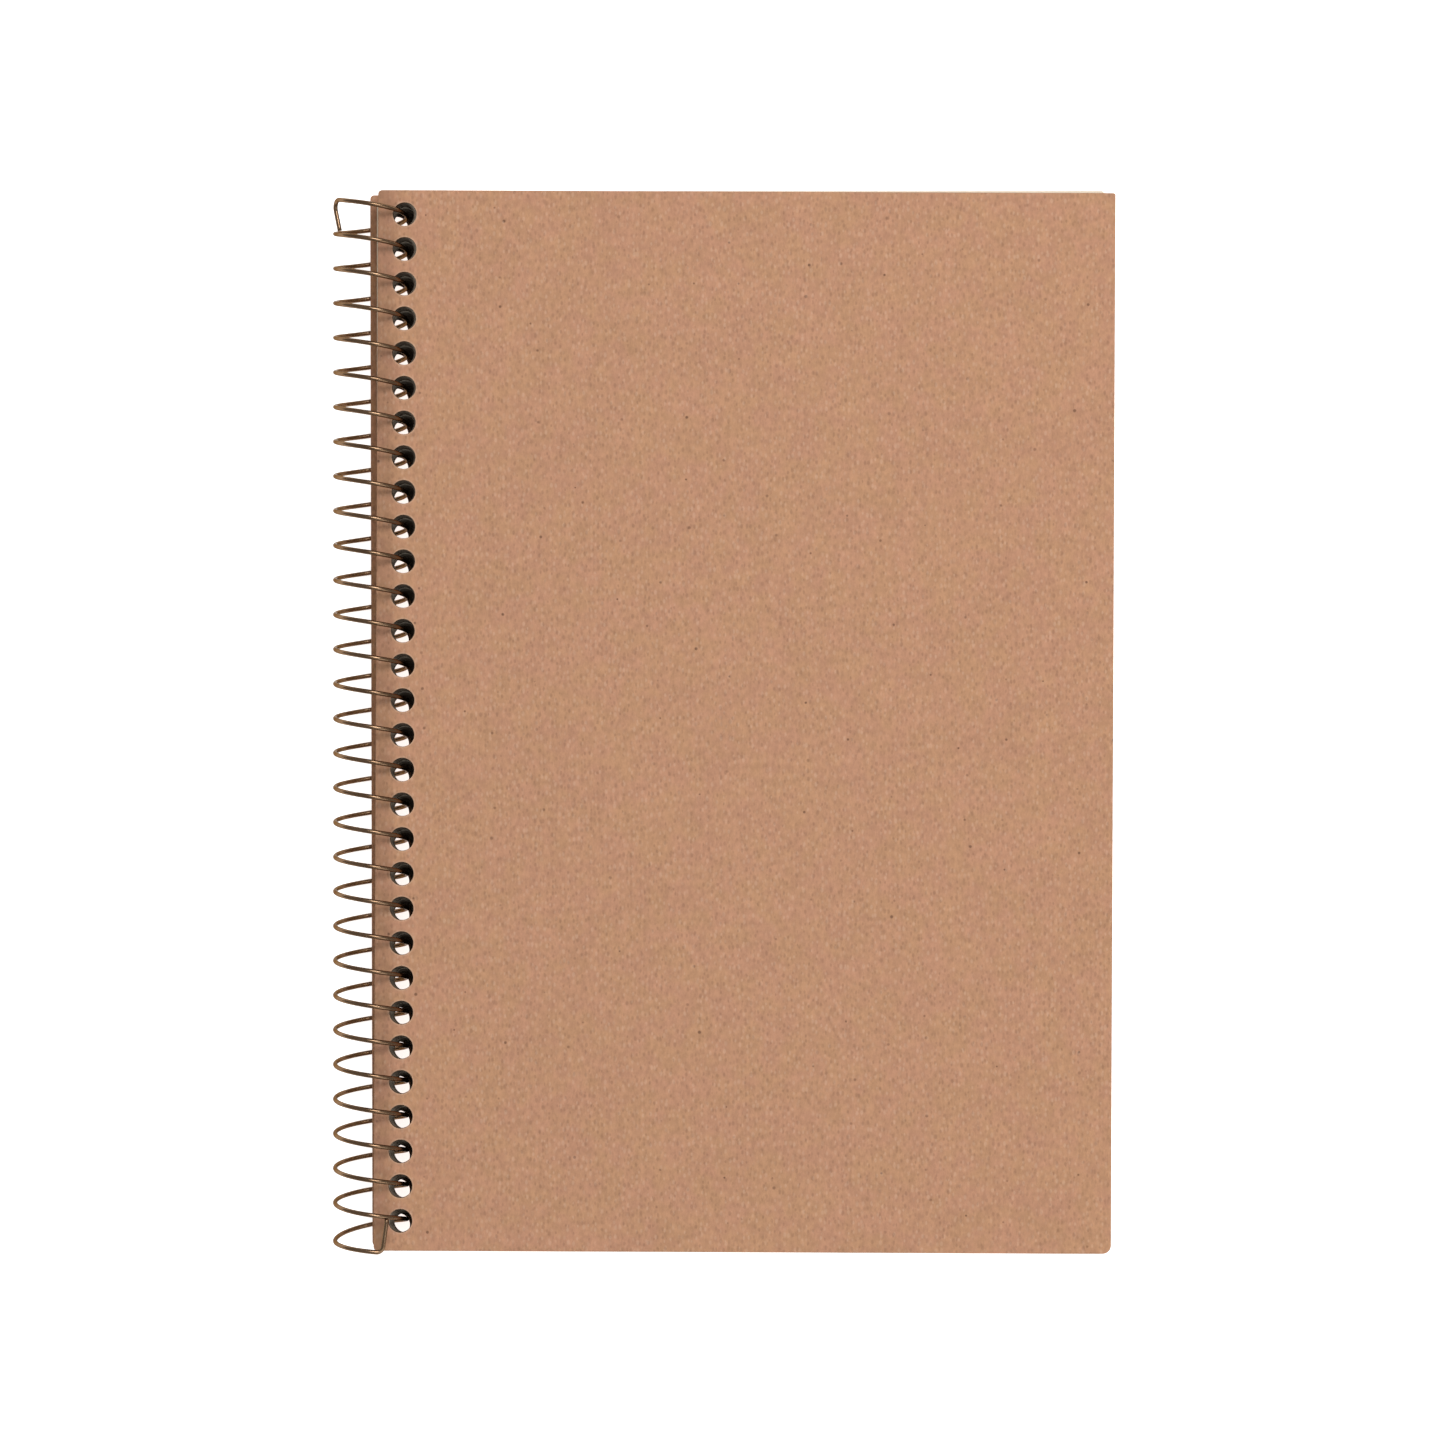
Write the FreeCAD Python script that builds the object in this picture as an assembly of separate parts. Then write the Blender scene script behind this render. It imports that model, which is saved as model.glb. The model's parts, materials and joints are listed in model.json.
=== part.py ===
"""A5 sketchbook: two kraft boards and a block of drawing paper on one spiral wire.

Lengths are in millimetres and angles in degrees.

The leaves are worked out around the coil's axis: x to the right of it, y up the spine and
height above it. The finished model is then moved so that its origin is at the bottom centre.
"""
import FreeCAD, Part
import math
import os

# Coil: one wire wound as a left-handed helix along the spine
coil_radius = 7.1
coil_pitch = 6.87
wire_diameter = 0.9
hole_count = 30

# The wire's two free ends, each bent back along the coil
foot_end_start = -60.0
foot_tip = -180.0
foot_end_stop = -283.0
foot_splay_pitch = 9.4
foot_close_pitch = 5.2
foot_bend_radius = 1.3
foot_tail_length = 5.3
foot_tail_heading = FreeCAD.Vector(0.13, 1, 0).normalize()
head_end_start = 146.5
head_bend_radius = 1.9
head_tail_length = 3.9
head_tail_heading = FreeCAD.Vector(0.2, -1, 0).normalize()

# The foot end begins this far past the coil's end, so that the two solids don't overlap
joint_gap_angle = 0.25

# The sweep's setting for a path whose pitch changes at a corner
mitred_corners = 1

# Boards
cover_width = 146.0
cover_length = 210.0
cover_thickness = 0.9
front_corners = (0.8, 1.7, 0.4, 0.8)
back_corners = (0.8, 1.0, 1.0, 0.8)
front_skew = -0.25
back_skew = 0.12
front_hole_row = 0.585

# Drawing paper
sheet_count = 30
sheet_width = 143.5
sheet_length = 208.2
sheet_thickness = 0.18
sheet_spacing = 0.22
sheet_corners = (0.3, 0.3, 0.3, 0.3)
sheet_hole_row = -0.33

# Punching: the holes' size, and how far their row lies from each kind of leaf's spine edge
hole_diameter = 4.6
front_margin = 5.3
sheet_margin = 4.7
back_margin = 5.2

# How the leaves sit on the wire. The wire stands off each hole's centre along the spine, less
# in the leaves that turn over with the front cover than in those that stay.
turning_sheets = 12
wire_offset_turning = 0.40
wire_offset_staying = 0.95
stack_bottom = -5.15

# How far each leaf hangs towards the spine from where the wire passes
slack_front = 0.0
slack_sheets = 0.25
slack_back = 0.45

# The back board's underside is divided this far from the hole row. The part beyond is flat
# and clear of the wire.
rest_face_start = 4.0

block_bottom = stack_bottom + cover_thickness
block_top = block_bottom + sheet_count * sheet_spacing
paper_gap = (sheet_spacing - sheet_thickness) / 2


def wire_crossing(height):
    """Where the wire passes this height, right of its axis: x, and y from the coil's middle."""
    angle = math.asin(height / coil_radius)
    return coil_radius * math.cos(angle), coil_pitch * angle / (2 * math.pi)


front_middle = block_top + cover_thickness / 2
coil_middle = front_hole_row + wire_offset_turning - wire_crossing(front_middle)[1]


def hole_place(bottom, thickness, wire_offset, slack):
    """The x and y of a leaf's hole row, so that the wire runs through it off centre."""
    x, lead = wire_crossing(bottom + thickness / 2)
    return x - slack, coil_middle + lead - wire_offset


def rounded_outline(left, right, low, high, corners):
    """A closed rectangle with its own radius at each corner, anticlockwise from the lower left."""
    places = [(left, low, 1, 1), (right, low, -1, 1), (right, high, -1, -1), (left, high, 1, -1)]
    ends = []
    arcs = []
    for index, ((x, y, in_x, in_y), radius) in enumerate(zip(places, corners)):
        inset = radius * (1 - math.sqrt(0.5))
        beside = FreeCAD.Vector(x + in_x * radius, y, 0)
        above = FreeCAD.Vector(x, y + in_y * radius, 0)
        middle = FreeCAD.Vector(x + in_x * inset, y + in_y * inset, 0)
        start, stop = (above, beside) if index % 2 == 0 else (beside, above)
        arcs.append(Part.Arc(start, middle, stop).toShape())
        ends.append((start, stop))
    edges = []
    for index in range(4):
        edges.append(arcs[index])
        edges.append(Part.LineSegment(ends[index][1], ends[(index + 1) % 4][0]).toShape())
    return Part.Wire(edges)


def ring(centre, direction, diameter):
    circle = Part.Circle(centre, direction, diameter / 2)
    return Part.Wire([circle.toShape()])


def punched_holes():
    """The row of holes along x = 0, centred on y = 0, as closed wires."""
    middle = (hole_count - 1) / 2
    centres = [FreeCAD.Vector(0, (number - middle) * coil_pitch, 0) for number in range(hole_count)]
    return [ring(centre, FreeCAD.Vector(0, 0, 1), hole_diameter) for centre in centres]


def flat_leaf(width, length, thickness, corners, outline_y, margin):
    """A punched leaf with its hole row along x = 0 and its underside at z = 0."""
    left = -margin
    low = outline_y - length / 2
    outline = rounded_outline(left, left + width, low, low + length, corners)
    face = Part.makeFace([outline] + punched_holes(), "Part::FaceMakerBullseye")
    return face.extrude(FreeCAD.Vector(0, 0, thickness))


def place_leaf(leaf, x, y, bottom, skew=0.0):
    leaf.rotate(FreeCAD.Vector(0, 0, 0), FreeCAD.Vector(0, 0, 1), skew)
    leaf.translate(FreeCAD.Vector(x, y, bottom))
    return leaf


def make_front_cover():
    x, y = hole_place(block_top, cover_thickness, wire_offset_turning, slack_front)
    leaf = flat_leaf(cover_width, cover_length, cover_thickness, front_corners, -y, front_margin)
    return place_leaf(leaf, x, y, block_top, front_skew)


def make_back_cover():
    """The back board, with its binding strip and its clear flat as two faces of one solid."""
    x, y = hole_place(stack_bottom, cover_thickness, wire_offset_staying, slack_back)
    leaf = flat_leaf(cover_width, cover_length, cover_thickness, back_corners, -y, back_margin)
    corner = FreeCAD.Vector(rest_face_start, -cover_length, -cover_thickness)
    beyond = Part.makeBox(cover_width, 2 * cover_length, 3 * cover_thickness, corner)
    halves = leaf.cut(beyond).fuse(leaf.common(beyond))
    return place_leaf(halves.Solids[0], x, y, stack_bottom, back_skew)


def make_sheet(number):
    """One sheet of the block, counted from 1 under the front cover."""
    bottom = block_top - number * sheet_spacing + paper_gap
    offset = wire_offset_turning if number <= turning_sheets else wire_offset_staying
    x, y = hole_place(bottom, sheet_thickness, offset, slack_sheets)
    size = (sheet_width, sheet_length, sheet_thickness)
    leaf = flat_leaf(*size, sheet_corners, -sheet_hole_row, sheet_margin)
    return place_leaf(leaf, x, y, bottom)


def coil_point(angle, y):
    """A point on the wire's centre line, at this angle from +X towards +Z about the axis."""
    turn = math.radians(angle)
    return FreeCAD.Vector(coil_radius * math.cos(turn), y, coil_radius * math.sin(turn))


def around(angle):
    """The unit direction of growing angle at this place on the coil."""
    turn = math.radians(angle)
    return FreeCAD.Vector(-math.sin(turn), 0, math.cos(turn))


def helix_tangent(angle, pitch):
    rise = pitch / (2 * math.pi)
    return (around(angle) * coil_radius + FreeCAD.Vector(0, rise, 0)).normalize()


def helix_path(start, stop, start_y, pitch):
    """Edges of a helix about the axis from one angle to a larger one, from start_y upward."""
    turns = (stop - start) / 360
    path = Part.makeLongHelix(pitch, turns * pitch, coil_radius, 0, True)
    path.rotate(FreeCAD.Vector(0, 0, 0), FreeCAD.Vector(1, 0, 0), -90)
    path.rotate(FreeCAD.Vector(0, 0, 0), FreeCAD.Vector(0, 1, 0), -start)
    path.translate(FreeCAD.Vector(0, start_y, 0))
    return path.Edges


def coiled_wire(path, start, start_y, pitch):
    """A solid wire along helix edges that begin at this angle, y and pitch."""
    section = ring(coil_point(start, start_y), helix_tangent(start, pitch), wire_diameter)
    return Part.Wire(path).makePipeShell([section], True, True, mitred_corners)


def bent_tail(start, forward, heading, radius, length):
    """An arc from the forward direction round to the heading, with a straight tail after it."""
    turn = forward.getAngle(heading)
    inward = (heading - forward * forward.dot(heading)).normalize()

    def arc_point(angle):
        advance = forward * math.sin(angle) + inward * (1 - math.cos(angle))
        return start + advance * radius

    bend = Part.Wire([Part.Arc(start, arc_point(turn / 2), arc_point(turn)).toShape()])
    curved = bend.makePipeShell([ring(start, forward, wire_diameter)], True, True)
    straight = Part.makeCylinder(wire_diameter / 2, length, arc_point(turn), heading)
    return curved.fuse(straight)


head_turn = (hole_count - 1) / 2
foot_turn = -head_turn


def wire_y(turn, angle):
    """The wire's y at this angle of a turn, where turn counts from the coil's middle."""
    return coil_middle + (turn + angle / 360) * coil_pitch


def make_coil():
    total = (head_turn - foot_turn) * 360 + head_end_start - foot_end_start
    start_y = wire_y(foot_turn, foot_end_start)
    path = helix_path(foot_end_start, foot_end_start + total, start_y, coil_pitch)
    return coiled_wire(path, foot_end_start, start_y, coil_pitch)


def make_head_end():
    """The upper end, which bends down beside the next turn."""
    start = coil_point(head_end_start, wire_y(head_turn, head_end_start))
    forward = helix_tangent(head_end_start, coil_pitch)
    return bent_tail(start, forward, head_tail_heading, head_bend_radius, head_tail_length)


def make_foot_end():
    """The lower end: a loop that splays below the leaves and closes above them, then a bend up."""
    top_angle = foot_end_start - joint_gap_angle
    tip_y = wire_y(foot_turn, top_angle) - (top_angle - foot_tip) / 360 * foot_splay_pitch
    stop_y = tip_y - (foot_tip - foot_end_stop) / 360 * foot_close_pitch
    path = helix_path(foot_end_stop, foot_tip, stop_y, foot_close_pitch)
    path += helix_path(foot_tip, top_angle, tip_y, foot_splay_pitch)
    loop = coiled_wire(path, foot_end_stop, stop_y, foot_close_pitch)
    forward = helix_tangent(foot_end_stop, foot_close_pitch) * -1
    start = coil_point(foot_end_stop, stop_y)
    tail = bent_tail(start, forward, foot_tail_heading, foot_bend_radius, foot_tail_length)
    return loop.fuse(tail)


def build_nodes():
    nodes = {
        "front_cover": make_front_cover(),
        "back_cover": make_back_cover(),
        "coil_wire": make_coil(),
        "coil_head_end": make_head_end(),
        "coil_foot_end": make_foot_end(),
    }
    for number in range(1, sheet_count + 1):
        nodes[f"sheet_{number:02d}"] = make_sheet(number)
    return nodes


def move_to_bottom_centre(nodes):
    """Set the origin under the middle of the closed book, where the coil meets the table."""
    reach = coil_radius + wire_diameter / 2
    boards = [nodes["front_cover"].BoundBox, nodes["back_cover"].BoundBox]
    middle_x = (max(box.XMax for box in boards) - reach) / 2
    middle_y = (max(box.YMax for box in boards) + min(box.YMin for box in boards)) / 2
    for shape in nodes.values():
        shape.translate(FreeCAD.Vector(-middle_x, -middle_y, reach))
    print(f"coil axis at x {-middle_x:.4f}, z {reach:.4f}")


os.makedirs("parts", exist_ok=True)
nodes = build_nodes()
move_to_bottom_centre(nodes)
for name, shape in nodes.items():
    solid = shape.Solids[0]
    print(f"{name}: {len(shape.Solids)} solid, valid {solid.isValid()}, {solid.Volume:.2f} mm3")
    solid.exportStep(f"parts/{name}.step")
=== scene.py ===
"""Spiral-bound kraft sketchbook: detailed boards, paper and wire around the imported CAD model."""
import bpy
import json
import math
import numpy as np
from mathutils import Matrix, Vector


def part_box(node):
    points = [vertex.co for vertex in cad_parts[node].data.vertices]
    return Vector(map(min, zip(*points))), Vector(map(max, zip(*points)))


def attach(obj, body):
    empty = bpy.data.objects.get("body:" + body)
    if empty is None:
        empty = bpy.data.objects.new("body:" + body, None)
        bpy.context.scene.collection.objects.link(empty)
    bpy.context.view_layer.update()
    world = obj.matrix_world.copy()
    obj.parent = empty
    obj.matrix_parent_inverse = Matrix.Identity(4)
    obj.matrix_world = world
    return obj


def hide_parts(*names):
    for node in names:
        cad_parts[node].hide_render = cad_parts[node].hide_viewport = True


MM = 0.001
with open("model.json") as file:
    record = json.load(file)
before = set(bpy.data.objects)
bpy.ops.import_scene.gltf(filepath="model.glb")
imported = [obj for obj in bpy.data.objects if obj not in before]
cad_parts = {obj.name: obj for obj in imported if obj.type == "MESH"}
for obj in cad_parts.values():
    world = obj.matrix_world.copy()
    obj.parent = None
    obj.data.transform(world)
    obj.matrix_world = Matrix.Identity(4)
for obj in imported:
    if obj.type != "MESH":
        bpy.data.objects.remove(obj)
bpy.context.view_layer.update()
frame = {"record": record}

# The book's dimensions, as in the CAD model
COIL_RADIUS = 7.1 * MM
COIL_PITCH = 6.87 * MM
WIRE_RADIUS = 0.45 * MM
HOLE_COUNT = 30
HOLE_RADIUS = 2.3 * MM
FRONT_HOLE_ROW = 0.585 * MM
SHEET_HOLE_ROW = -0.33 * MM
OFFSET_TURNING = 0.40 * MM
OFFSET_STAYING = 0.95 * MM
TURNING_SHEETS = 12
SHEET_COUNT = 30
BOARD_SIZE = (146.0 * MM, 210.0 * MM)
SHEET_SIZE = (143.5 * MM, 208.2 * MM)
FRONT_MARGIN, SHEET_MARGIN, BACK_MARGIN = 5.3 * MM, 4.7 * MM, 5.2 * MM
FRONT_SLACK, SHEET_SLACK, BACK_SLACK = 0.0, 0.25 * MM, 0.45 * MM
FRONT_CORNERS = (0.8 * MM, 1.7 * MM, 0.4 * MM, 0.8 * MM)
BACK_CORNERS = (0.8 * MM, 1.0 * MM, 1.0 * MM, 0.8 * MM)
SHEET_CORNERS = (0.3 * MM,) * 4
FRONT_SKEW = math.radians(-0.25)
BACK_SKEW = math.radians(0.12)

# The wire's two bent ends
FOOT_START, FOOT_TIP, FOOT_STOP = -60.0, -180.0, -283.0
FOOT_SPLAY, FOOT_CLOSE = 9.4 * MM, 5.2 * MM
FOOT_BEND, FOOT_TAIL, FOOT_HEADING = 1.3 * MM, 5.3 * MM, (0.13, 1.0, 0.0)
HEAD_START = 146.5
HEAD_BEND, HEAD_TAIL, HEAD_HEADING = 1.9 * MM, 3.9 * MM, (0.2, -1.0, 0.0)

hinge = frame["record"]["behaviour"]["joints"][0]
AXIS_X, _, AXIS_Z = hinge["pos_m"]
wire_low, wire_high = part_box("coil_wire")

# The wire's y at angle 0, midway along the coil, from the wire's own box
COIL_Y = (wire_low.y + wire_high.y) / 2 - COIL_PITCH * (HEAD_START + FOOT_START) / 2 / 360


# ---------------------------------------------------------------- where the leaves lie

def wire_crossing(height):
    """Where the wire passes this height beside its axis: x from the axis, y from its middle."""
    angle = math.asin(height / COIL_RADIUS)
    return COIL_RADIUS * math.cos(angle), COIL_PITCH * angle / math.tau


def middle_height(node):
    """The height of a leaf's middle above the coil's axis."""
    low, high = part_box(node)
    return (low.z + high.z) / 2 - AXIS_Z


def hole_place(node, offset, slack):
    """The x and y of the middle of a leaf's hole row."""
    x, lead = wire_crossing(middle_height(node))
    return AXIS_X + x - slack, COIL_Y + lead - offset


# The boards' own middle, midway along the book
BOARD_Y = hole_place("front_cover", OFFSET_TURNING, FRONT_SLACK)[1] - FRONT_HOLE_ROW


# ---------------------------------------------------------------- leaves as meshes

def spread(first, stretches):
    """Grid lines from the first one on. Each stretch has the place where it stops and its steps."""
    lines = [first]
    for stop, steps in stretches:
        lines += list(np.linspace(lines[-1], stop, steps + 1)[1:])
    return np.array(lines)


def square_loop(columns, rows, grid):
    """The grid's vertices round one cell, anticlockwise from the lower left."""
    (c0, c1), (r0, r1) = columns, rows
    loop = [grid[c, r0] for c in range(c0, c1)]
    loop += [grid[c1, r] for r in range(r0, r1)]
    loop += [grid[c, r1] for c in range(c1, c0, -1)]
    loop += [grid[c0, r] for r in range(r1, r0, -1)]
    return loop


def round_corners(points, left, right, low, high, corners):
    """Pull the grid's four corner squares in to arcs of their own radii."""
    out = points.copy()
    places = [(left, low, 1, 1), (right, low, -1, 1), (right, high, -1, -1), (left, high, 1, -1)]
    for (x, y, in_x, in_y), radius in zip(places, corners):
        u = 1 - (points[:, 0] - x) * in_x / radius
        v = 1 - (points[:, 1] - y) * in_y / radius
        inside = (u > 0) & (v > 0)
        cu = u * np.sqrt(np.clip(1 - v * v / 2, 0, 1))
        cv = v * np.sqrt(np.clip(1 - u * u / 2, 0, 1))
        out[inside, 0] = (x + in_x * radius * (1 - cu))[inside]
        out[inside, 1] = (y + in_y * radius * (1 - cv))[inside]
    return out


# The grid of a leaf: half the square cell round a hole, and the lines beyond the hole row
CELL = 2.8 * MM
BESIDE_HOLES = 8 * MM
CLEAR_OF_HOLES = 20 * MM
FORE_EDGE_BAND = 4 * MM

# Its steps over each stretch, apart from the cells and the open middle
SPINE_CORNER_STEPS = 3
CORNER_STEPS = 4
MARGIN_STEPS = 2
BESIDE_STEPS = 3
CLEAR_STEPS = 4
BAND_STEPS = 3

# The rings between a hole and its cell: how far outside the hole, and how far from it as a share
RIM_RINGS = ((0.42 * MM, 0.5), (0.16 * MM, 0.1), (0.0, 0.0))

# Where square_loop starts, in turns from +X: the lower left
LOWER_LEFT = -0.375


def flat_net(size, margin, corners, outline_y, fine, coarse):
    """A leaf's plan: points, faces, boundary loops and each point's distance from the holes.

    The hole row is x = 0 and centred on y = 0. Each hole sits in a square cell of the grid and
    is joined to it by rings. The distance is a share, 0 at a hole's edge and 1 outside the rings.
    fine is the number of steps across a cell, and coarse across the leaf's open middle.
    """
    width, length = size
    left, right = -margin, width - margin
    low, high = outline_y - length / 2, outline_y + length / 2
    corner = max(corners)
    centres = [(k - (HOLE_COUNT - 1) / 2) * COIL_PITCH for k in range(HOLE_COUNT)]
    across = [
        (left + corner, SPINE_CORNER_STEPS),
        (-CELL, MARGIN_STEPS),
        (CELL, fine),
        (BESIDE_HOLES, BESIDE_STEPS),
        (CLEAR_OF_HOLES, CLEAR_STEPS),
        (right - FORE_EDGE_BAND, coarse),
        (right - corner, BAND_STEPS),
        (right, CORNER_STEPS),
    ]
    along = [(low + corner, CORNER_STEPS)]
    for y in centres:
        between = MARGIN_STEPS if y == centres[0] else 1
        along += [(y - CELL, between), (y + CELL, fine)]
    along += [(high - corner, MARGIN_STEPS), (high, CORNER_STEPS)]
    xs = spread(left, across)
    ys = spread(low, along)
    first_x = SPINE_CORNER_STEPS + MARGIN_STEPS
    first_y = CORNER_STEPS + MARGIN_STEPS
    rows = [first_y + k * (fine + 1) for k in range(HOLE_COUNT)]
    open_cells = {(i, j) for i in range(first_x, first_x + fine) for r in rows for j in range(r, r + fine)}
    grid = {}
    points = []
    for i, x in enumerate(xs):
        for j, y in enumerate(ys):
            around_it = {(i - 1, j - 1), (i, j - 1), (i - 1, j), (i, j)}
            if not around_it <= open_cells:
                grid[i, j] = len(points)
                points.append((x, y))
    faces = []
    for i in range(len(xs) - 1):
        for j in range(len(ys) - 1):
            if (i, j) not in open_cells:
                faces.append((grid[i, j], grid[i + 1, j], grid[i + 1, j + 1], grid[i, j + 1]))
    loops = [square_loop((0, len(xs) - 1), (0, len(ys) - 1), grid)]
    far = [1.0] * len(points)
    for row, middle_y in zip(rows, centres):
        outer = square_loop((first_x, first_x + fine), (row, row + fine), grid)
        turns = [math.tau * (n / len(outer) + LOWER_LEFT) for n in range(len(outer))]
        for grow, share in RIM_RINGS:
            radius = HOLE_RADIUS + grow
            inner = list(range(len(points), len(points) + len(outer)))
            points += [(radius * math.cos(t), middle_y + radius * math.sin(t)) for t in turns]
            far += [share] * len(outer)
            for n in range(len(outer)):
                m = (n + 1) % len(outer)
                faces.append((outer[n], outer[m], inner[m], inner[n]))
            outer = inner
        loops.append(outer[::-1])
    points = round_corners(np.array(points), left, right, low, high, corners)
    return points, faces, loops, np.array(far)


def outward(points, loop):
    """The unit normal in the plane at each point of a loop, away from the leaf."""
    place = points[loop]
    along = np.roll(place, -1, axis=0) - np.roll(place, 1, axis=0)
    normal = np.stack([along[:, 1], -along[:, 0]], axis=1)
    return normal / np.maximum(np.linalg.norm(normal, axis=1, keepdims=True), 1e-12)


# Lines round a cut edge between its softened corners, where it wanders and where it is plain
WANDERING_LINES = 4
PLAIN_LINES = 2


def new_object(name, data):
    """Add an object with this mesh, camera or light to the scene."""
    thing = bpy.data.objects.new(name, data)
    bpy.context.collection.objects.link(thing)
    return thing


def solid_leaf(name, net, thickness, bevel, lift, rough=0.0, seed=0):
    """A closed leaf with softened edges, laid on the surface z = lift(x, y).

    Material 0 is the face, 1 the outer cut edge and 2 the walls of the holes. rough is about how
    far the lines of the cut edges wander inwards. Two attributes are for the materials: rim is
    the net's distance from the holes, and across is x from the hole row in millimetres.
    """
    points, faces, loops, far = net
    rng = np.random.default_rng(seed)
    plan = points.copy()
    for loop in loops:
        plan[loop] -= outward(points, loop) * bevel
    count = len(points)
    verts = [np.column_stack([plan, np.full(count, z)]) for z in (thickness, 0.0)]
    total = 2 * count
    polys = [tuple(f) for f in faces] + [tuple(v + count for v in f[::-1]) for f in faces]
    looks = [0] * len(polys)
    values = [far, far]
    slope = bevel * (1 - math.sqrt(0.5))
    middles = np.linspace(bevel, thickness - bevel, WANDERING_LINES if rough else PLAIN_LINES)
    rings = [(slope, slope)] + [(height, 0.0) for height in middles] + [(thickness - slope, slope)]
    for number, loop in enumerate(loops):
        normal = outward(points, loop)
        size = len(loop)
        lines = [[v + count for v in loop]]
        for height, inset in rings:
            wander = np.abs(rng.normal(0, 1, size)) * (0.0 if inset else rough)
            edge = points[loop] - normal * (inset + wander)[:, None]
            verts.append(np.column_stack([edge, np.full(size, height)]))
            values.append(np.zeros(size))
            lines.append(list(range(total, total + size)))
            total += size
        lines.append(loop)
        for lower, upper in zip(lines, lines[1:]):
            for n in range(size):
                m = (n + 1) % size
                polys.append((lower[n], lower[m], upper[m], upper[n]))
        looks += [1 if number == 0 else 2] * (size * (len(lines) - 1))
    verts = np.vstack(verts)
    across = verts[:, 0] / MM
    verts[:, 2] += lift(verts[:, 0], verts[:, 1])
    mesh = bpy.data.meshes.new(name)
    mesh.from_pydata(verts.tolist(), [], polys)
    mesh.polygons.foreach_set("material_index", looks)
    for label, data in (("rim", np.concatenate(values)), ("across", across)):
        attribute = mesh.attributes.new(label, "FLOAT", "POINT")
        attribute.data.foreach_set("value", data.astype(np.float32))
    mesh.polygons.foreach_set("use_smooth", [True] * len(polys))
    mesh.update()
    return new_object(name, mesh)


def seat(leaf, x, y, z, skew=0.0):
    """Turn a leaf by its skew about its hole row's middle, and move it into place, in its mesh."""
    co = np.zeros(len(leaf.data.vertices) * 3)
    leaf.data.vertices.foreach_get("co", co)
    co = co.reshape(-1, 3)
    c, s = math.cos(skew), math.sin(skew)
    turned_x = co[:, 0] * c - co[:, 1] * s + x
    turned_y = co[:, 0] * s + co[:, 1] * c + y
    turned = np.column_stack([turned_x, turned_y, co[:, 2] + z])
    leaf.data.vertices.foreach_set("co", turned.ravel())
    leaf.data.update()


# The book's warp, under 0.3 mm in all: curled corners at the fore edge and two waves along it.
# The curl starts at a share of the width, and the waves are in radians per half length.
CURL = 0.9 * MM
CURL_START = 0.55
LONG_WAVE, LONG_TURN, LONG_PHASE = 0.05 * MM, 2.6, 0.7
SHORT_WAVE, SHORT_TURN = 0.04 * MM, 5.1


def book_warp(x, y):
    """The closed book's slight warp, one formula for every leaf so that they stay apart."""
    u = x / BOARD_SIZE[0]
    v = y / (BOARD_SIZE[1] / 2)
    corner = np.clip(u - CURL_START, 0, None) ** 2 * v * v
    waves = LONG_WAVE * np.sin(LONG_TURN * v + LONG_PHASE) + SHORT_WAVE * np.cos(SHORT_TURN * v)
    return CURL * corner + u * waves


# ---------------------------------------------------------------- the wire

# Steps along the wire: degrees of the coil, parts of a bend and parts of a tail
COIL_STEP = 6.0
BEND_STEPS = 12
TAIL_STEPS = 6

# How many degrees the foot loop takes to ease from one pitch to the next
PITCH_EASE = 20.0

# The wire's sheared ends: how far in each ring lies, and its share of the wire's radius
SHEARED_END = ((0.0, 0.55), (0.0, 0.86), (0.10 * MM, 1.0))


def around(angle):
    """The unit direction of growing angle at this place on the coil."""
    turn = math.radians(angle)
    return np.array([-math.sin(turn), 0.0, math.cos(turn)])


def on_coil(angle, y):
    """A point on the wire's centre line, from +X towards +Z about the coil's axis."""
    turn = math.radians(angle)
    return np.array([COIL_RADIUS * math.cos(turn), y, COIL_RADIUS * math.sin(turn)])


def wire_y(turn, angle):
    """The wire's y at this angle of a turn, counted from the coil's middle."""
    return COIL_Y + (turn + angle / 360) * COIL_PITCH


def unit(vector):
    return np.array(vector) / np.linalg.norm(vector)


def wire_direction(angle, pitch):
    """The unit direction of the wire up the coil at this angle and pitch."""
    return unit(around(angle) * COIL_RADIUS + np.array([0, pitch / math.tau, 0]))


def bent_tail(start, forward, heading, radius, length):
    """Points along an arc from the forward direction round to the heading, then straight on."""
    turn = math.acos(forward.dot(heading))
    inward = unit(heading - forward * forward.dot(heading))
    arc = [start + (forward * math.sin(t) + inward * (1 - math.cos(t))) * radius
           for t in np.linspace(0, turn, BEND_STEPS + 1)[1:]]
    shares = np.linspace(0, 1, TAIL_STEPS + 1)[1:]
    return arc + [arc[-1] + heading * length * share for share in shares]


def foot_pitch(angle):
    """The pitch of the loop at the foot, easing between its splayed and closing stretches."""
    stops = (FOOT_TIP - PITCH_EASE, FOOT_TIP + PITCH_EASE, FOOT_START - PITCH_EASE, FOOT_START)
    return np.interp(angle, stops, (FOOT_CLOSE, FOOT_SPLAY, FOOT_SPLAY, COIL_PITCH))


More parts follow.
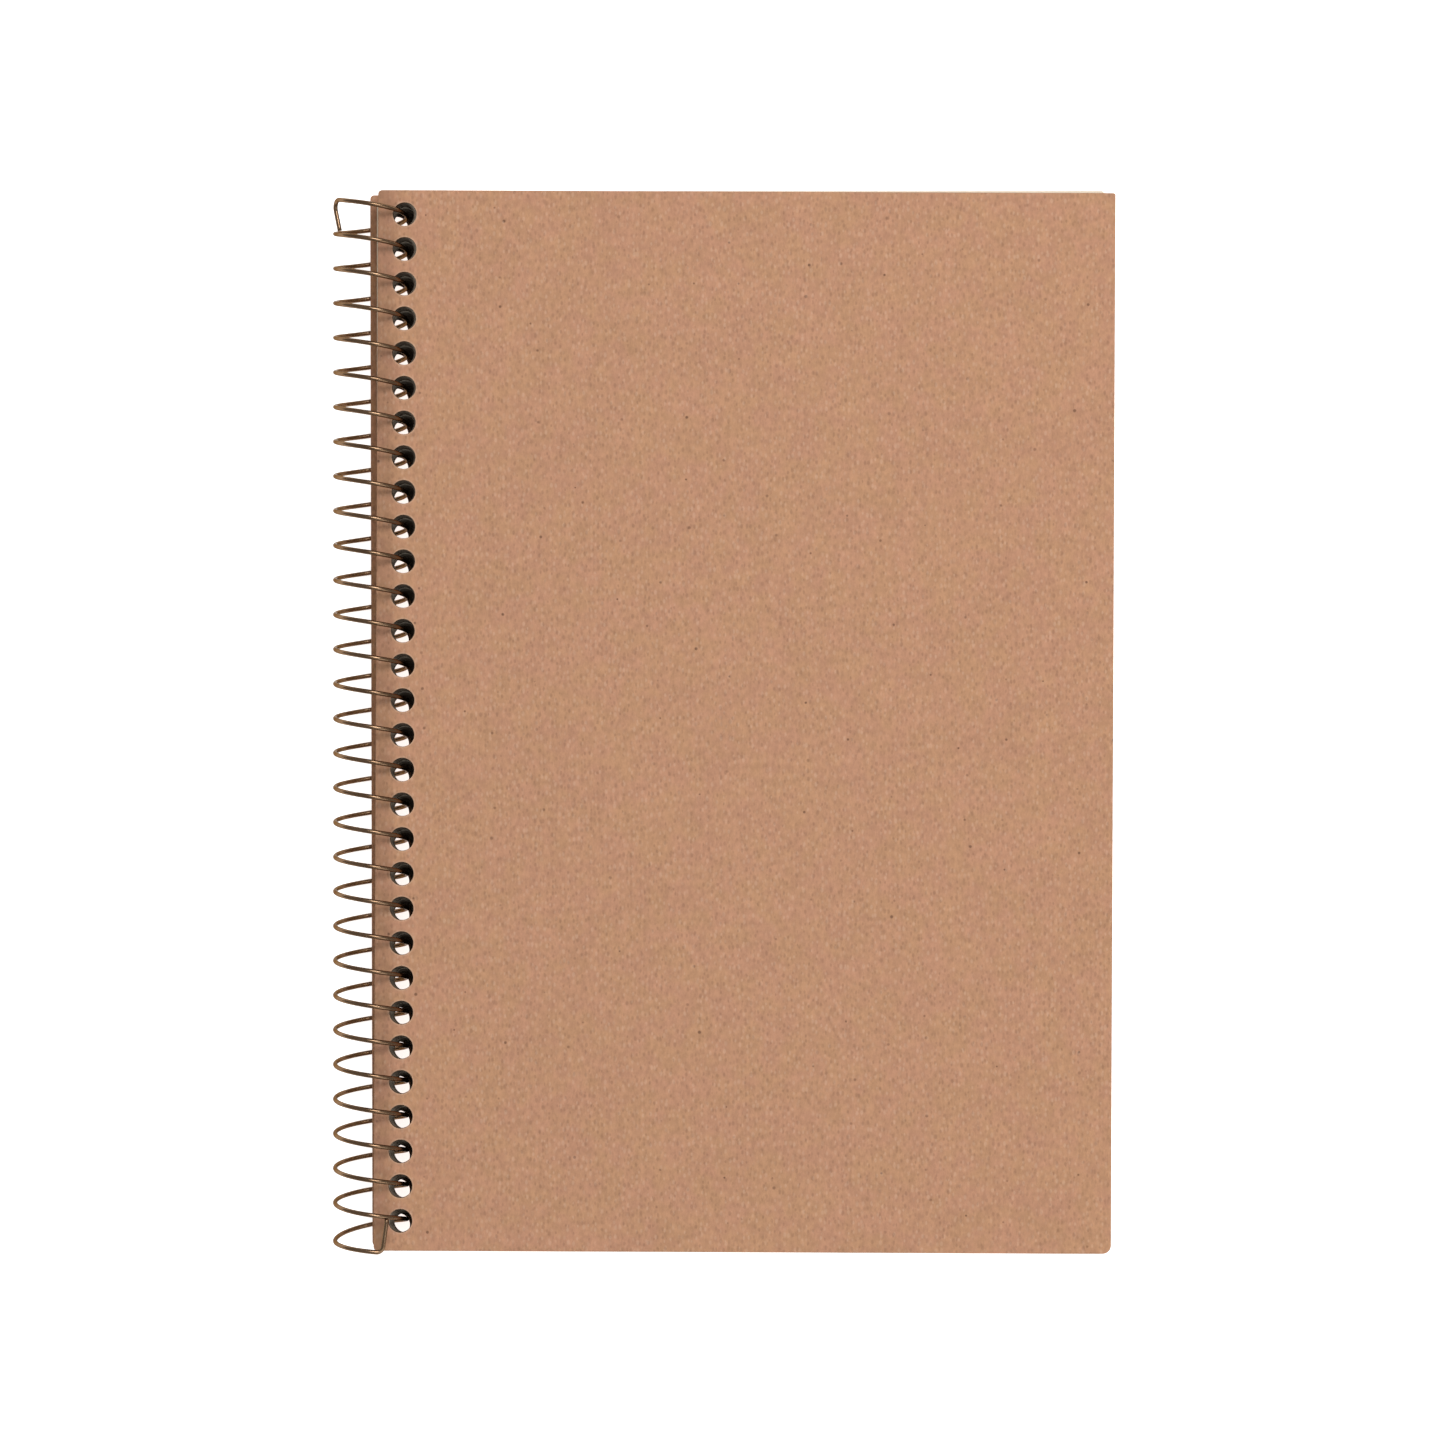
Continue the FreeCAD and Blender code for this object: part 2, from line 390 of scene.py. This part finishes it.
def wire_points():
    """The wire's whole centre line, from the tail at the foot to the tail at the head."""
    last = (HOLE_COUNT - 1) / 2
    angles = np.linspace(FOOT_START, FOOT_STOP, round((FOOT_START - FOOT_STOP) / COIL_STEP) + 1)
    y = wire_y(-last, FOOT_START)
    loop = []
    for before, angle in zip(angles, angles[1:]):
        y -= (before - angle) / 360 * foot_pitch((before + angle) / 2)
        loop.append(on_coil(angle, y))
    forward = -wire_direction(FOOT_STOP, FOOT_CLOSE)
    foot = loop + bent_tail(loop[-1], forward, unit(FOOT_HEADING), FOOT_BEND, FOOT_TAIL)
    total = 2 * last * 360 + HEAD_START - FOOT_START
    angles = np.linspace(FOOT_START, FOOT_START + total, round(total / COIL_STEP) + 1)
    main = [on_coil(angle, wire_y(-last, angle)) for angle in angles]
    forward = wire_direction(HEAD_START, COIL_PITCH)
    head = bent_tail(main[-1], forward, unit(HEAD_HEADING), HEAD_BEND, HEAD_TAIL)
    return np.array(foot[::-1] + main + head) + np.array([AXIS_X, 0.0, AXIS_Z])


def tube_mesh(name, line, radius, sides=16):
    """A round wire along a line, with small sheared ends."""
    along = np.gradient(line, axis=0)
    along /= np.linalg.norm(along, axis=1, keepdims=True)
    frame_x = np.zeros_like(line)
    normal = np.cross(along[0], [0.0, 0.0, 1.0])
    normal /= np.linalg.norm(normal)
    for i, direction in enumerate(along):
        normal = normal - direction * normal.dot(direction)
        normal /= np.linalg.norm(normal)
        frame_x[i] = normal
    frame_y = np.cross(along, frame_x)
    turns = np.linspace(0, math.tau, sides, endpoint=False)
    ring = np.stack([np.cos(turns), np.sin(turns)], axis=1)
    last = len(line) - 1
    stations = [(0, inset, share) for inset, share in SHEARED_END]
    stations += [(index, 0.0, 1.0) for index in range(1, last)]
    stations += [(last, -inset, share) for inset, share in reversed(SHEARED_END)]
    verts = []
    for index, push, share in stations:
        centre = line[index] + along[index] * push
        circle = ring[:, :1] * frame_x[index] + ring[:, 1:] * frame_y[index]
        verts.append(centre + radius * share * circle)
    verts = np.vstack(verts)
    faces = []
    for row in range(len(stations) - 1):
        for n in range(sides):
            m = (n + 1) % sides
            faces.append((row * sides + n, row * sides + m, (row + 1) * sides + m, (row + 1) * sides + n))
    faces.append(tuple(range(sides))[::-1])
    faces.append(tuple((len(stations) - 1) * sides + n for n in range(sides)))
    mesh = bpy.data.meshes.new(name)
    mesh.from_pydata(verts.tolist(), [], faces)
    mesh.polygons.foreach_set("use_smooth", [True] * len(faces))
    mesh.update()
    return new_object(name, mesh)


# ---------------------------------------------------------------- materials

class Nodes:
    """One material's node tree. Patterns are laid out in millimetres of the object's own space."""

    def __init__(self, name):
        self.material = bpy.data.materials.new(name)
        self.material.use_nodes = True
        self.tree = self.material.node_tree
        self.shader = self.tree.nodes["Principled BSDF"]
        place = self.tree.nodes.new("ShaderNodeTexCoord")
        scale = self.tree.nodes.new("ShaderNodeVectorMath")
        scale.operation = "SCALE"
        scale.inputs["Scale"].default_value = 1 / MM
        self.link(place.outputs["Object"], scale.inputs[0])
        self.place = scale.outputs[0]

    def link(self, start, stop):
        self.tree.links.new(start, stop)

    def stretched(self, x, y, z):
        node = self.tree.nodes.new("ShaderNodeVectorMath")
        node.operation = "MULTIPLY"
        node.inputs[1].default_value = (x, y, z)
        self.link(self.place, node.inputs[0])
        return node.outputs[0]

    def noise(self, scale, detail=2.0, roughness=0.5, vector=None, distortion=0.0):
        node = self.tree.nodes.new("ShaderNodeTexNoise")
        node.inputs["Scale"].default_value = scale
        node.inputs["Detail"].default_value = detail
        node.inputs["Roughness"].default_value = roughness
        node.inputs["Distortion"].default_value = distortion
        self.link(vector or self.place, node.inputs["Vector"])
        return node.outputs["Fac"]

    def spots(self, scale, vector):
        """Distance to the nearest of a flat scatter of points, and each one's own random colour."""
        node = self.tree.nodes.new("ShaderNodeTexVoronoi")
        node.voronoi_dimensions = "2D"
        node.inputs["Scale"].default_value = scale
        self.link(vector, node.inputs["Vector"])
        return node.outputs["Distance"], node.outputs["Color"]

    def math(self, operation, a, b=0.0, clamp=False):
        node = self.tree.nodes.new("ShaderNodeMath")
        node.operation = operation
        node.use_clamp = clamp
        for socket, value in zip(node.inputs, (a, b)):
            if isinstance(value, (int, float)):
                socket.default_value = value
            else:
                self.link(value, socket)
        return node.outputs[0]

    def remap(self, value, low, high, to_low=0.0, to_high=1.0):
        node = self.tree.nodes.new("ShaderNodeMapRange")
        node.inputs["From Min"].default_value = low
        node.inputs["From Max"].default_value = high
        node.inputs["To Min"].default_value = to_low
        node.inputs["To Max"].default_value = to_high
        self.link(value, node.inputs["Value"])
        return node.outputs["Result"]

    def mix(self, share, a, b):
        node = self.tree.nodes.new("ShaderNodeMix")
        node.data_type = "RGBA"
        self.link(share, node.inputs["Factor"])
        for socket, value in ((node.inputs["A"], a), (node.inputs["B"], b)):
            if isinstance(value, tuple):
                socket.default_value = (*value, 1.0)
            else:
                self.link(value, socket)
        return node.outputs["Result"]

    def value(self, colour, amount):
        """Multiply a colour by an amount close to 1."""
        node = self.tree.nodes.new("ShaderNodeVectorMath")
        node.operation = "SCALE"
        self.link(colour, node.inputs[0])
        self.link(amount, node.inputs["Scale"])
        return node.outputs[0]

    def separate(self, vector):
        node = self.tree.nodes.new("ShaderNodeSeparateXYZ")
        self.link(vector, node.inputs[0])
        return node.outputs

    def attribute(self, name):
        node = self.tree.nodes.new("ShaderNodeAttribute")
        node.attribute_name = name
        return node.outputs["Fac"]

    def bump(self, height, distance, strength):
        node = self.tree.nodes.new("ShaderNodeBump")
        node.inputs["Distance"].default_value = distance
        node.inputs["Strength"].default_value = strength
        self.link(height, node.inputs["Height"])
        return node.outputs["Normal"]

    def finish(self, colour, roughness=None, normal=None):
        self.link(colour, self.shader.inputs["Base Color"])
        if roughness is not None:
            self.link(roughness, self.shader.inputs["Roughness"])
        if normal is not None:
            self.link(normal, self.shader.inputs["Normal"])
        return self.material


def linear(*rgb):
    """A colour given in 0 to 255 display values, as scene values."""
    shares = [value / 255 for value in rgb]
    return tuple(s / 12.92 if s <= 0.04045 else ((s + 0.055) / 1.055) ** 2.4 for s in shares)


KRAFT_PINK = linear(185, 137, 109)
KRAFT_GOLD = linear(184, 139, 106)


# Painted shade: the darker and lighter of the punched walls' two tones, dark for the deep shaded holes
PUNCHED_BOARD_SHADE = ((0.10, 0.055, 0.032), (0.17, 0.10, 0.062))
PUNCHED_PAPER_SHADE = ((0.05, 0.033, 0.022), (0.11, 0.075, 0.05))


def flecks(n, colour, tint, scale, stretch, size, share, strength):
    """Scatter specks of a tint: cells per mm, the largest radius in mm, share of cells with one."""
    distance, own = n.spots(scale, n.stretched(1.0, stretch, 1.0))
    parts = n.separate(own)
    kept = n.math("LESS_THAN", parts[0], share)
    radius = n.remap(parts[1], 0.0, 1.0, 0.5 * size * scale, size * scale)
    inside = n.math("SUBTRACT", 1.0, n.math("DIVIDE", distance, radius), clamp=True)
    depth = n.math("MULTIPLY", n.remap(parts[2], 0.0, 1.0, 0.25 * strength, strength), kept)
    amount = n.math("MULTIPLY", n.remap(inside, 0.0, 0.5), depth)
    return n.mix(amount, colour, tint)


def kraft_board():
    """Uncoated brown board: faint clouds of hue, fine mottling, short fibres and flecks."""
    n = Nodes("kraft_board")
    hue = n.remap(n.noise(0.22, 2.0, 0.5), 0.36, 0.64)
    colour = n.mix(hue, KRAFT_PINK, KRAFT_GOLD)
    cloud = n.remap(n.noise(0.10, 3.0, 0.6), 0.3, 0.7, 0.975, 1.025)
    mottle = n.remap(n.noise(0.95, 2.0, 0.6, n.stretched(1.0, 0.75, 1.0)), 0.32, 0.68, 0.91, 1.09)
    fibre = n.noise(2.2, 3.0, 0.7, n.stretched(1.0, 0.35, 1.0), 0.5)
    strand = n.remap(fibre, 0.32, 0.68, 0.94, 1.06)
    for amount in (cloud, mottle, strand):
        colour = n.value(colour, amount)
    dark, pale = linear(112, 80, 60), linear(214, 178, 152)
    colour = flecks(n, colour, dark, scale=0.13, stretch=1.0, size=0.42, share=0.4, strength=0.9)
    colour = flecks(n, colour, pale, scale=1.1, stretch=0.6, size=0.42, share=0.6, strength=0.3)
    colour = flecks(n, colour, dark, scale=1.2, stretch=0.6, size=0.4, share=0.6, strength=0.28)
    # Paler at the punched edges
    worn = n.remap(n.attribute("rim"), 0.0, 0.5, 1.0, 0.0)
    colour = n.mix(n.math("MULTIPLY", worn, 0.4), colour, linear(206, 176, 150))
    # Painted shade: the strip outside the hole row, under the coil, is darkened to 0.8 of its colour
    painted_spine_shade = n.remap(n.attribute("across"), -3.2, -0.8, 0.80, 1.0)
    colour = n.value(colour, painted_spine_shade)
    height = n.math("ADD", n.math("MULTIPLY", fibre, 0.6), n.noise(3.2, 3.0, 0.7))
    normal = n.bump(height, 0.05 * MM, 0.7)
    roughness = n.remap(n.noise(0.9, 3.0), 0.3, 0.7, 0.78, 0.92)
    n.shader.inputs["Specular IOR Level"].default_value = 0.3
    return n.finish(colour, roughness, normal)


def board_cut():
    """The board's cut edge: pressed pulp layers, a little greyer than the face."""
    n = Nodes("board_cut_edge")
    layers = n.noise(1.0, 4.0, 0.7, n.stretched(1.2, 1.2, 9.0))
    colour = n.mix(n.remap(layers, 0.3, 0.7), linear(134, 102, 78), linear(178, 142, 114))
    grit = n.remap(n.noise(5.0, 2.0), 0.3, 0.7, 0.92, 1.08)
    normal = n.bump(layers, 0.08 * MM, 0.8)
    n.shader.inputs["Roughness"].default_value = 0.92
    n.shader.inputs["Specular IOR Level"].default_value = 0.2
    return n.finish(n.value(colour, grit), normal=normal)


def punched_wall(name, low, high):
    """The wall of a punched hole, painted dark as shade for the deep, shaded inside of the hole.
    The wall of a punched hole, dark because the photo's holes are almost black inside.
    """
    n = Nodes(name)
    shade_tone = n.noise(1.4, 3.0, 0.6, n.stretched(1.0, 1.0, 5.0))
    colour = n.mix(n.remap(shade_tone, 0.35, 0.65), low, high)
    normal = n.bump(n.noise(6.0, 2.0), 0.02 * MM, 0.5)
    n.shader.inputs["Roughness"].default_value = 0.9
    n.shader.inputs["Specular IOR Level"].default_value = 0.1
    return n.finish(colour, normal=normal)


def drawing_paper():
    """Cream paper with a fine tooth and faint clouds."""
    n = Nodes("drawing_paper")
    tooth = n.noise(3.5, 4.0, 0.65)
    cloud = n.remap(n.noise(0.12, 2.0), 0.3, 0.7, 0.985, 1.015)
    colour = n.mix(n.remap(tooth, 0.35, 0.65), linear(236, 224, 203), linear(243, 233, 214))
    # Painted shade: a dark ring round each hole, so that the holes look dark inside
    painted_ring_shade = n.remap(n.attribute("rim"), 0.1, 0.75, 0.9, 0.0)
    colour = n.mix(painted_ring_shade, colour, (0.06, 0.04, 0.027))
    normal = n.bump(tooth, 0.02 * MM, 0.6)
    n.shader.inputs["Roughness"].default_value = 0.88
    n.shader.inputs["Specular IOR Level"].default_value = 0.25
    n.shader.inputs["Sheen Weight"].default_value = 0.05
    return n.finish(n.value(colour, cloud), normal=normal)


def paper_cut():
    """Guillotined paper edges, slightly warmer and uneven from sheet to sheet."""
    n = Nodes("paper_cut_edge")
    own = n.noise(1.0, 2.0, 0.6, n.stretched(0.35, 0.35, 6.0))
    colour = n.mix(n.remap(own, 0.35, 0.65), linear(212, 194, 168), linear(240, 226, 203))
    normal = n.bump(n.noise(6.0, 2.0), 0.02 * MM, 0.5)
    n.shader.inputs["Roughness"].default_value = 0.93
    n.shader.inputs["Specular IOR Level"].default_value = 0.2
    return n.finish(colour, normal=normal)


def bronze_wire():
    """Dark bronze lacquer over steel wire, with uneven tone and shine."""
    n = Nodes("bronze_lacquered_wire")
    tone = n.remap(n.noise(0.25, 3.0, 0.6), 0.3, 0.7)
    colour = n.mix(tone, (0.15, 0.088, 0.048), (0.215, 0.135, 0.08))
    speck = n.remap(n.noise(2.5, 3.0, 0.7), 0.55, 0.75, 0.0, 0.25)
    colour = n.mix(speck, colour, (0.32, 0.2, 0.12))
    roughness = n.remap(n.noise(1.6, 3.0), 0.3, 0.7, 0.18, 0.30)
    normal = n.bump(n.noise(4.0, 2.0), 0.01 * MM, 0.4)
    n.shader.inputs["Metallic"].default_value = 1.0
    n.shader.inputs["Specular Tint"].default_value = (0.4, 0.32, 0.25, 1.0)
    n.shader.inputs["Coat Weight"].default_value = 0.12
    n.shader.inputs["Coat Roughness"].default_value = 0.15
    return n.finish(colour, roughness, normal)


def white_table():
    """A bright white table that glows enough to wash out most of the shadow on it."""
    n = Nodes("white_table")
    tone = n.remap(n.noise(0.01, 2.0), 0.3, 0.7, 0.995, 1.0)
    base = n.mix(tone, (0.9, 0.9, 0.9), (0.93, 0.93, 0.93))
    n.shader.inputs["Roughness"].default_value = 0.8
    n.shader.inputs["Specular IOR Level"].default_value = 0.1
    n.shader.inputs["Emission Color"].default_value = (1.0, 1.0, 1.0, 1.0)
    n.shader.inputs["Emission Strength"].default_value = 0.8
    return n.finish(base)


# ---------------------------------------------------------------- building

# The camera: its place off the book's middle and above the front board, and its lens in mm
CAMERA_SHIFT = (-0.2 * MM, -0.25 * MM)
CAMERA_HEIGHT = 773.0 * MM
SENSOR, LENS = 36.0, 97.3
CLIP_START, CLIP_END = 0.05, 20.0

TABLE_HALF = 2.0


def make_camera():
    """Looking straight down on the closed book."""
    camera = new_object("camera", bpy.data.cameras.new("camera"))
    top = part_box("front_cover")[1].z
    camera.location = (*CAMERA_SHIFT, top + CAMERA_HEIGHT)
    camera.data.sensor_width = SENSOR
    camera.data.lens = LENS
    camera.data.clip_start = CLIP_START
    camera.data.clip_end = CLIP_END
    bpy.context.scene.camera = camera


def area_light(name, place, size, power):
    """A round lamp that faces the origin."""
    light = new_object(name, bpy.data.lights.new(name, "AREA"))
    light.location = place
    light.rotation_euler = (-Vector(place)).to_track_quat("-Z", "Y").to_euler()
    light.data.shape = "DISK"
    light.data.size = size
    light.data.energy = power


def make_stage():
    """A white table, a key light from the head, a fill from the foot and even light all round."""
    mesh = bpy.data.meshes.new("table_top")
    sides = ((-1, -1), (1, -1), (1, 1), (-1, 1))
    corners = [(x * TABLE_HALF, y * TABLE_HALF, 0) for x, y in sides]
    mesh.from_pydata(corners, [], [(0, 1, 2, 3)])
    floor = new_object("table_top", mesh)
    mesh.materials.append(white_table())
    area_light("key_light", place=(0.45, 0.6, 1.25), size=0.7, power=12.8)
    area_light("fill_light", place=(0.7, -0.8, 1.1), size=1.0, power=5.0)
    world = bpy.data.worlds.new("studio")
    world.use_nodes = True
    world.node_tree.nodes["Background"].inputs["Color"].default_value = (1.0, 0.995, 0.99, 1.0)
    world.node_tree.nodes["Background"].inputs["Strength"].default_value = 0.42
    bpy.context.scene.world = world
    bpy.context.scene.view_settings.view_transform = "Standard"


# Each board's node and body, then how it is cut and how it hangs on the wire
BOARDS = (
    ("front_cover", "front_board", FRONT_CORNERS, FRONT_SKEW, FRONT_MARGIN, OFFSET_TURNING, FRONT_SLACK),
    ("back_cover", "back_board", BACK_CORNERS, BACK_SKEW, BACK_MARGIN, OFFSET_STAYING, BACK_SLACK),
)
BOARD_STEPS = (10, 40)
BOARD_BEVEL = 0.07 * MM
BOARD_WANDER = 0.02 * MM
BOARD_SEED = 3

# A sheet's mesh is thinner than its CAD solid, which leaves room for its ripple
SHEET_STEPS = (6, 12)
SHEET_THICKNESS = 0.15 * MM
SHEET_LIFT = 0.015 * MM
SHEET_BEVEL = 0.02 * MM
SHEET_RIPPLE = 0.012 * MM
RIPPLE_ALONG, RIPPLE_ACROSS = 23 * MM, 31 * MM
SHEET_SLIP = 0.08 * MM
SHEETS_SEED = 11


def dress(piece, node, body, slot, *materials):
    """Give a piece its materials, and say what it replaces and which body it moves with."""
    for material in materials:
        piece.data.materials.append(material)
    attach(piece, body)
    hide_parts(*([node] if isinstance(node, str) else node))


def make_boards(*looks):
    for node, body, corners, skew, margin, offset, slack in BOARDS:
        low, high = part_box(node)
        thickness = high.z - low.z
        x, y = hole_place(node, offset, slack)
        net = flat_net(BOARD_SIZE, margin, corners, BOARD_Y - y, *BOARD_STEPS)
        name = node + "_board"
        leaf = solid_leaf(name, net, thickness, BOARD_BEVEL, book_warp, BOARD_WANDER, BOARD_SEED)
        seat(leaf, x, y, low.z, skew)
        dress(leaf, node, body, "kraft_board", *looks)


def rippled(phase):
    """The book's warp with one sheet's own ripple on it."""
    def lift(x, y):
        ripple = np.sin(y / RIPPLE_ALONG + phase[0]) * np.sin(x / RIPPLE_ACROSS + phase[1])
        return book_warp(x, y) + SHEET_RIPPLE * ripple
    return lift


def make_sheets(*looks):
    """Thirty sheets, each with its own small slip and ripple."""
    rng = np.random.default_rng(SHEETS_SEED)
    net = flat_net(SHEET_SIZE, SHEET_MARGIN, SHEET_CORNERS, -SHEET_HOLE_ROW, *SHEET_STEPS)
    for number in range(1, SHEET_COUNT + 1):
        node = f"sheet_{number:02d}"
        offset = OFFSET_TURNING if number <= TURNING_SHEETS else OFFSET_STAYING
        x, y = hole_place(node, offset, SHEET_SLACK)
        slip = rng.uniform(-SHEET_SLIP, SHEET_SLIP, 2)
        phase = rng.uniform(0, math.tau, 2)
        leaf = solid_leaf(node + "_paper", net, SHEET_THICKNESS, SHEET_BEVEL, rippled(phase))
        seat(leaf, x + slip[0], y + slip[1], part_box(node)[0].z + SHEET_LIFT)
        dress(leaf, node, f"leaf_{number:02d}", "drawing_paper", *looks)


def make_wire(material):
    wire = tube_mesh("spiral_wire", wire_points(), WIRE_RADIUS)
    dress(wire, ("coil_wire", "coil_head_end", "coil_foot_end"), "binding_wire", "bronze_wire", material)


make_camera()
make_stage()
make_boards(kraft_board(), board_cut(), punched_wall("punched_board_painted_shade", *PUNCHED_BOARD_SHADE))
make_sheets(drawing_paper(), paper_cut(), punched_wall("punched_paper_painted_shade", *PUNCHED_PAPER_SHADE))
make_wire(bronze_wire())
